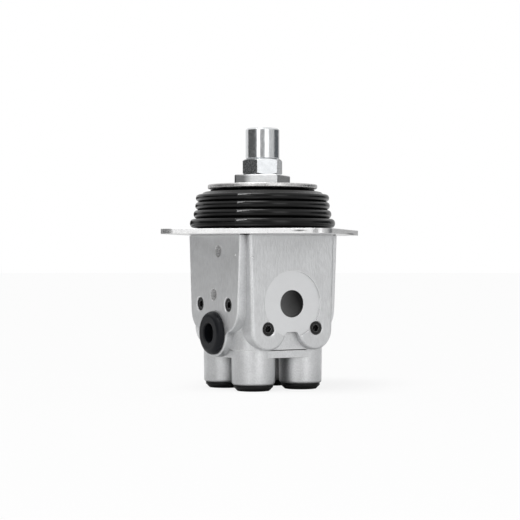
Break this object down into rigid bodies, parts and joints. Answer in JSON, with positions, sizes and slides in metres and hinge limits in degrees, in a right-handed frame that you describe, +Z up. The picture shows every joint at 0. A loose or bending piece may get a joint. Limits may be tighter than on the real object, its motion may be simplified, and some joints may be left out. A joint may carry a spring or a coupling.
{
  "type": "hydraulic pilot joystick valve",
  "caption": "Square cast valve body under a mounting plate, with a bellows boot and a tilting lever stub for a handle.",
  "frame": {"origin": "centre of the mounting plate's underside, midway between its four holes", "axes": "+Z up along the lever at rest; +X and +Y along the plate's sides, through two of the four plungers"},
  "size_m": [0.105, 0.105, 0.1609],
  "materials": {
    "cast_aluminium": "satin linished casting",
    "plated_plate": "bright zinc plate",
    "zinc_steel": "bright zinc plated steel",
    "steel": "turned and ground",
    "spring_steel": "oiled spring steel",
    "bronze": "machined bronze",
    "black_rubber": "smooth moulded rubber",
    "seal_rubber": "nitrile rubber",
    "black_plastic": "matt moulded plastic",
    "black_screw": "black oxide"
  },
  "bodies": {
    "root": {"valve_body": "cast_aluminium", "mounting_plate": "plated_plate", "boot": "black_rubber", "lower_yoke": "steel", "gallery_set_screws": "black_screw", "side_port_plug": "black_rubber", "recessed_port_plug": "black_plastic", "guide_o_rings": "seal_rubber", "plunger_guide_right": "bronze", "plunger_guide_back": "bronze", "plunger_guide_left": "bronze", "plunger_guide_front": "bronze", "plunger_seal_right": "seal_rubber", "plunger_seal_back": "seal_rubber", "plunger_seal_left": "seal_rubber", "plunger_seal_front": "seal_rubber", "return_shim_right": "steel", "return_shim_back": "steel", "return_shim_left": "steel", "return_shim_front": "steel", "return_spring_right": "spring_steel", "return_spring_back": "spring_steel", "return_spring_left": "spring_steel", "return_spring_front": "spring_steel", "port_cap_right": "black_plastic", "port_cap_back": "black_plastic", "port_cap_left": "black_plastic", "port_cap_front": "black_plastic"},
    "lower_pins": {"lower_pins": "steel"},
    "joint_block": {"joint_block": "steel"},
    "upper_pins": {"upper_pins": "steel"},
    "lever": {"upper_yoke": "steel", "swash_plate": "steel", "boot_clamp_disc": "zinc_steel", "adjusting_nut": "zinc_steel", "lock_nut": "zinc_steel", "handle_connector": "zinc_steel"},
    "plunger_right": {"plunger_right": "steel", "spring_seat_right": "steel"},
    "spool_right": {"spool_right": "steel", "metering_shim_right": "steel", "metering_spring_right": "spring_steel"},
    "plunger_back": {"plunger_back": "steel", "spring_seat_back": "steel"},
    "spool_back": {"spool_back": "steel", "metering_shim_back": "steel", "metering_spring_back": "spring_steel"},
    "plunger_left": {"plunger_left": "steel", "spring_seat_left": "steel"},
    "spool_left": {"spool_left": "steel", "metering_shim_left": "steel", "metering_spring_left": "spring_steel"},
    "plunger_front": {"plunger_front": "steel", "spring_seat_front": "steel"},
    "spool_front": {"spool_front": "steel", "metering_shim_front": "steel", "metering_spring_front": "spring_steel"}
  },
  "joints": [
    {"name": "tilt_right", "type": "hinge", "parent": "root", "child": "lower_pins", "pos_m": [0, 0, 0.012], "axis": [0, 1, 0], "range_deg": [0, 19], "stiffness_Nm_per_rad": 3, "deforming": ["boot"]},
    {"name": "tilt_left", "type": "hinge", "parent": "lower_pins", "child": "joint_block", "pos_m": [0, 0, 0.012], "axis": [0, 1, 0], "range_deg": [-19, 0], "stiffness_Nm_per_rad": 3},
    {"name": "tilt_front", "type": "hinge", "parent": "joint_block", "child": "upper_pins", "pos_m": [0, 0, 0.012], "axis": [1, 0, 0], "range_deg": [0, 19], "stiffness_Nm_per_rad": 3},
    {"name": "tilt_back", "type": "hinge", "parent": "upper_pins", "child": "lever", "pos_m": [0, 0, 0.012], "axis": [1, 0, 0], "range_deg": [-19, 0], "stiffness_Nm_per_rad": 3},
    {"name": "plunger_right_slide", "type": "slide", "parent": "root", "child": "plunger_right", "axis": [0, 0, 1], "range_m": [-0.0084, 0], "deforming": ["return_spring_right", "metering_spring_right"]},
    {"name": "spool_right_slide", "type": "slide", "parent": "root", "child": "spool_right", "axis": [0, 0, 1], "range_m": [-0.0015, 0]},
    {"name": "plunger_back_slide", "type": "slide", "parent": "root", "child": "plunger_back", "axis": [0, 0, 1], "range_m": [-0.0084, 0], "deforming": ["return_spring_back", "metering_spring_back"]},
    {"name": "spool_back_slide", "type": "slide", "parent": "root", "child": "spool_back", "axis": [0, 0, 1], "range_m": [-0.0015, 0]},
    {"name": "plunger_left_slide", "type": "slide", "parent": "root", "child": "plunger_left", "axis": [0, 0, 1], "range_m": [-0.0084, 0], "deforming": ["return_spring_left", "metering_spring_left"]},
    {"name": "spool_left_slide", "type": "slide", "parent": "root", "child": "spool_left", "axis": [0, 0, 1], "range_m": [-0.0015, 0]},
    {"name": "plunger_front_slide", "type": "slide", "parent": "root", "child": "plunger_front", "axis": [0, 0, 1], "range_m": [-0.0084, 0], "deforming": ["return_spring_front", "metering_spring_front"]},
    {"name": "spool_front_slide", "type": "slide", "parent": "root", "child": "spool_front", "axis": [0, 0, 1], "range_m": [-0.0015, 0]}
  ],
  "couplings": [
    {"joint": "plunger_right_slide", "follows": "tilt_right", "m_per_rad": -0.0246},
    {"joint": "spool_right_slide", "follows": "tilt_right", "m_per_rad": -0.0045},
    {"joint": "plunger_back_slide", "follows": "tilt_back", "m_per_rad": 0.0252},
    {"joint": "spool_back_slide", "follows": "tilt_back", "m_per_rad": 0.0045},
    {"joint": "plunger_left_slide", "follows": "tilt_left", "m_per_rad": 0.0246},
    {"joint": "spool_left_slide", "follows": "tilt_left", "m_per_rad": 0.0045},
    {"joint": "plunger_front_slide", "follows": "tilt_front", "m_per_rad": -0.0252},
    {"joint": "spool_front_slide", "follows": "tilt_front", "m_per_rad": -0.0045}
  ]
}
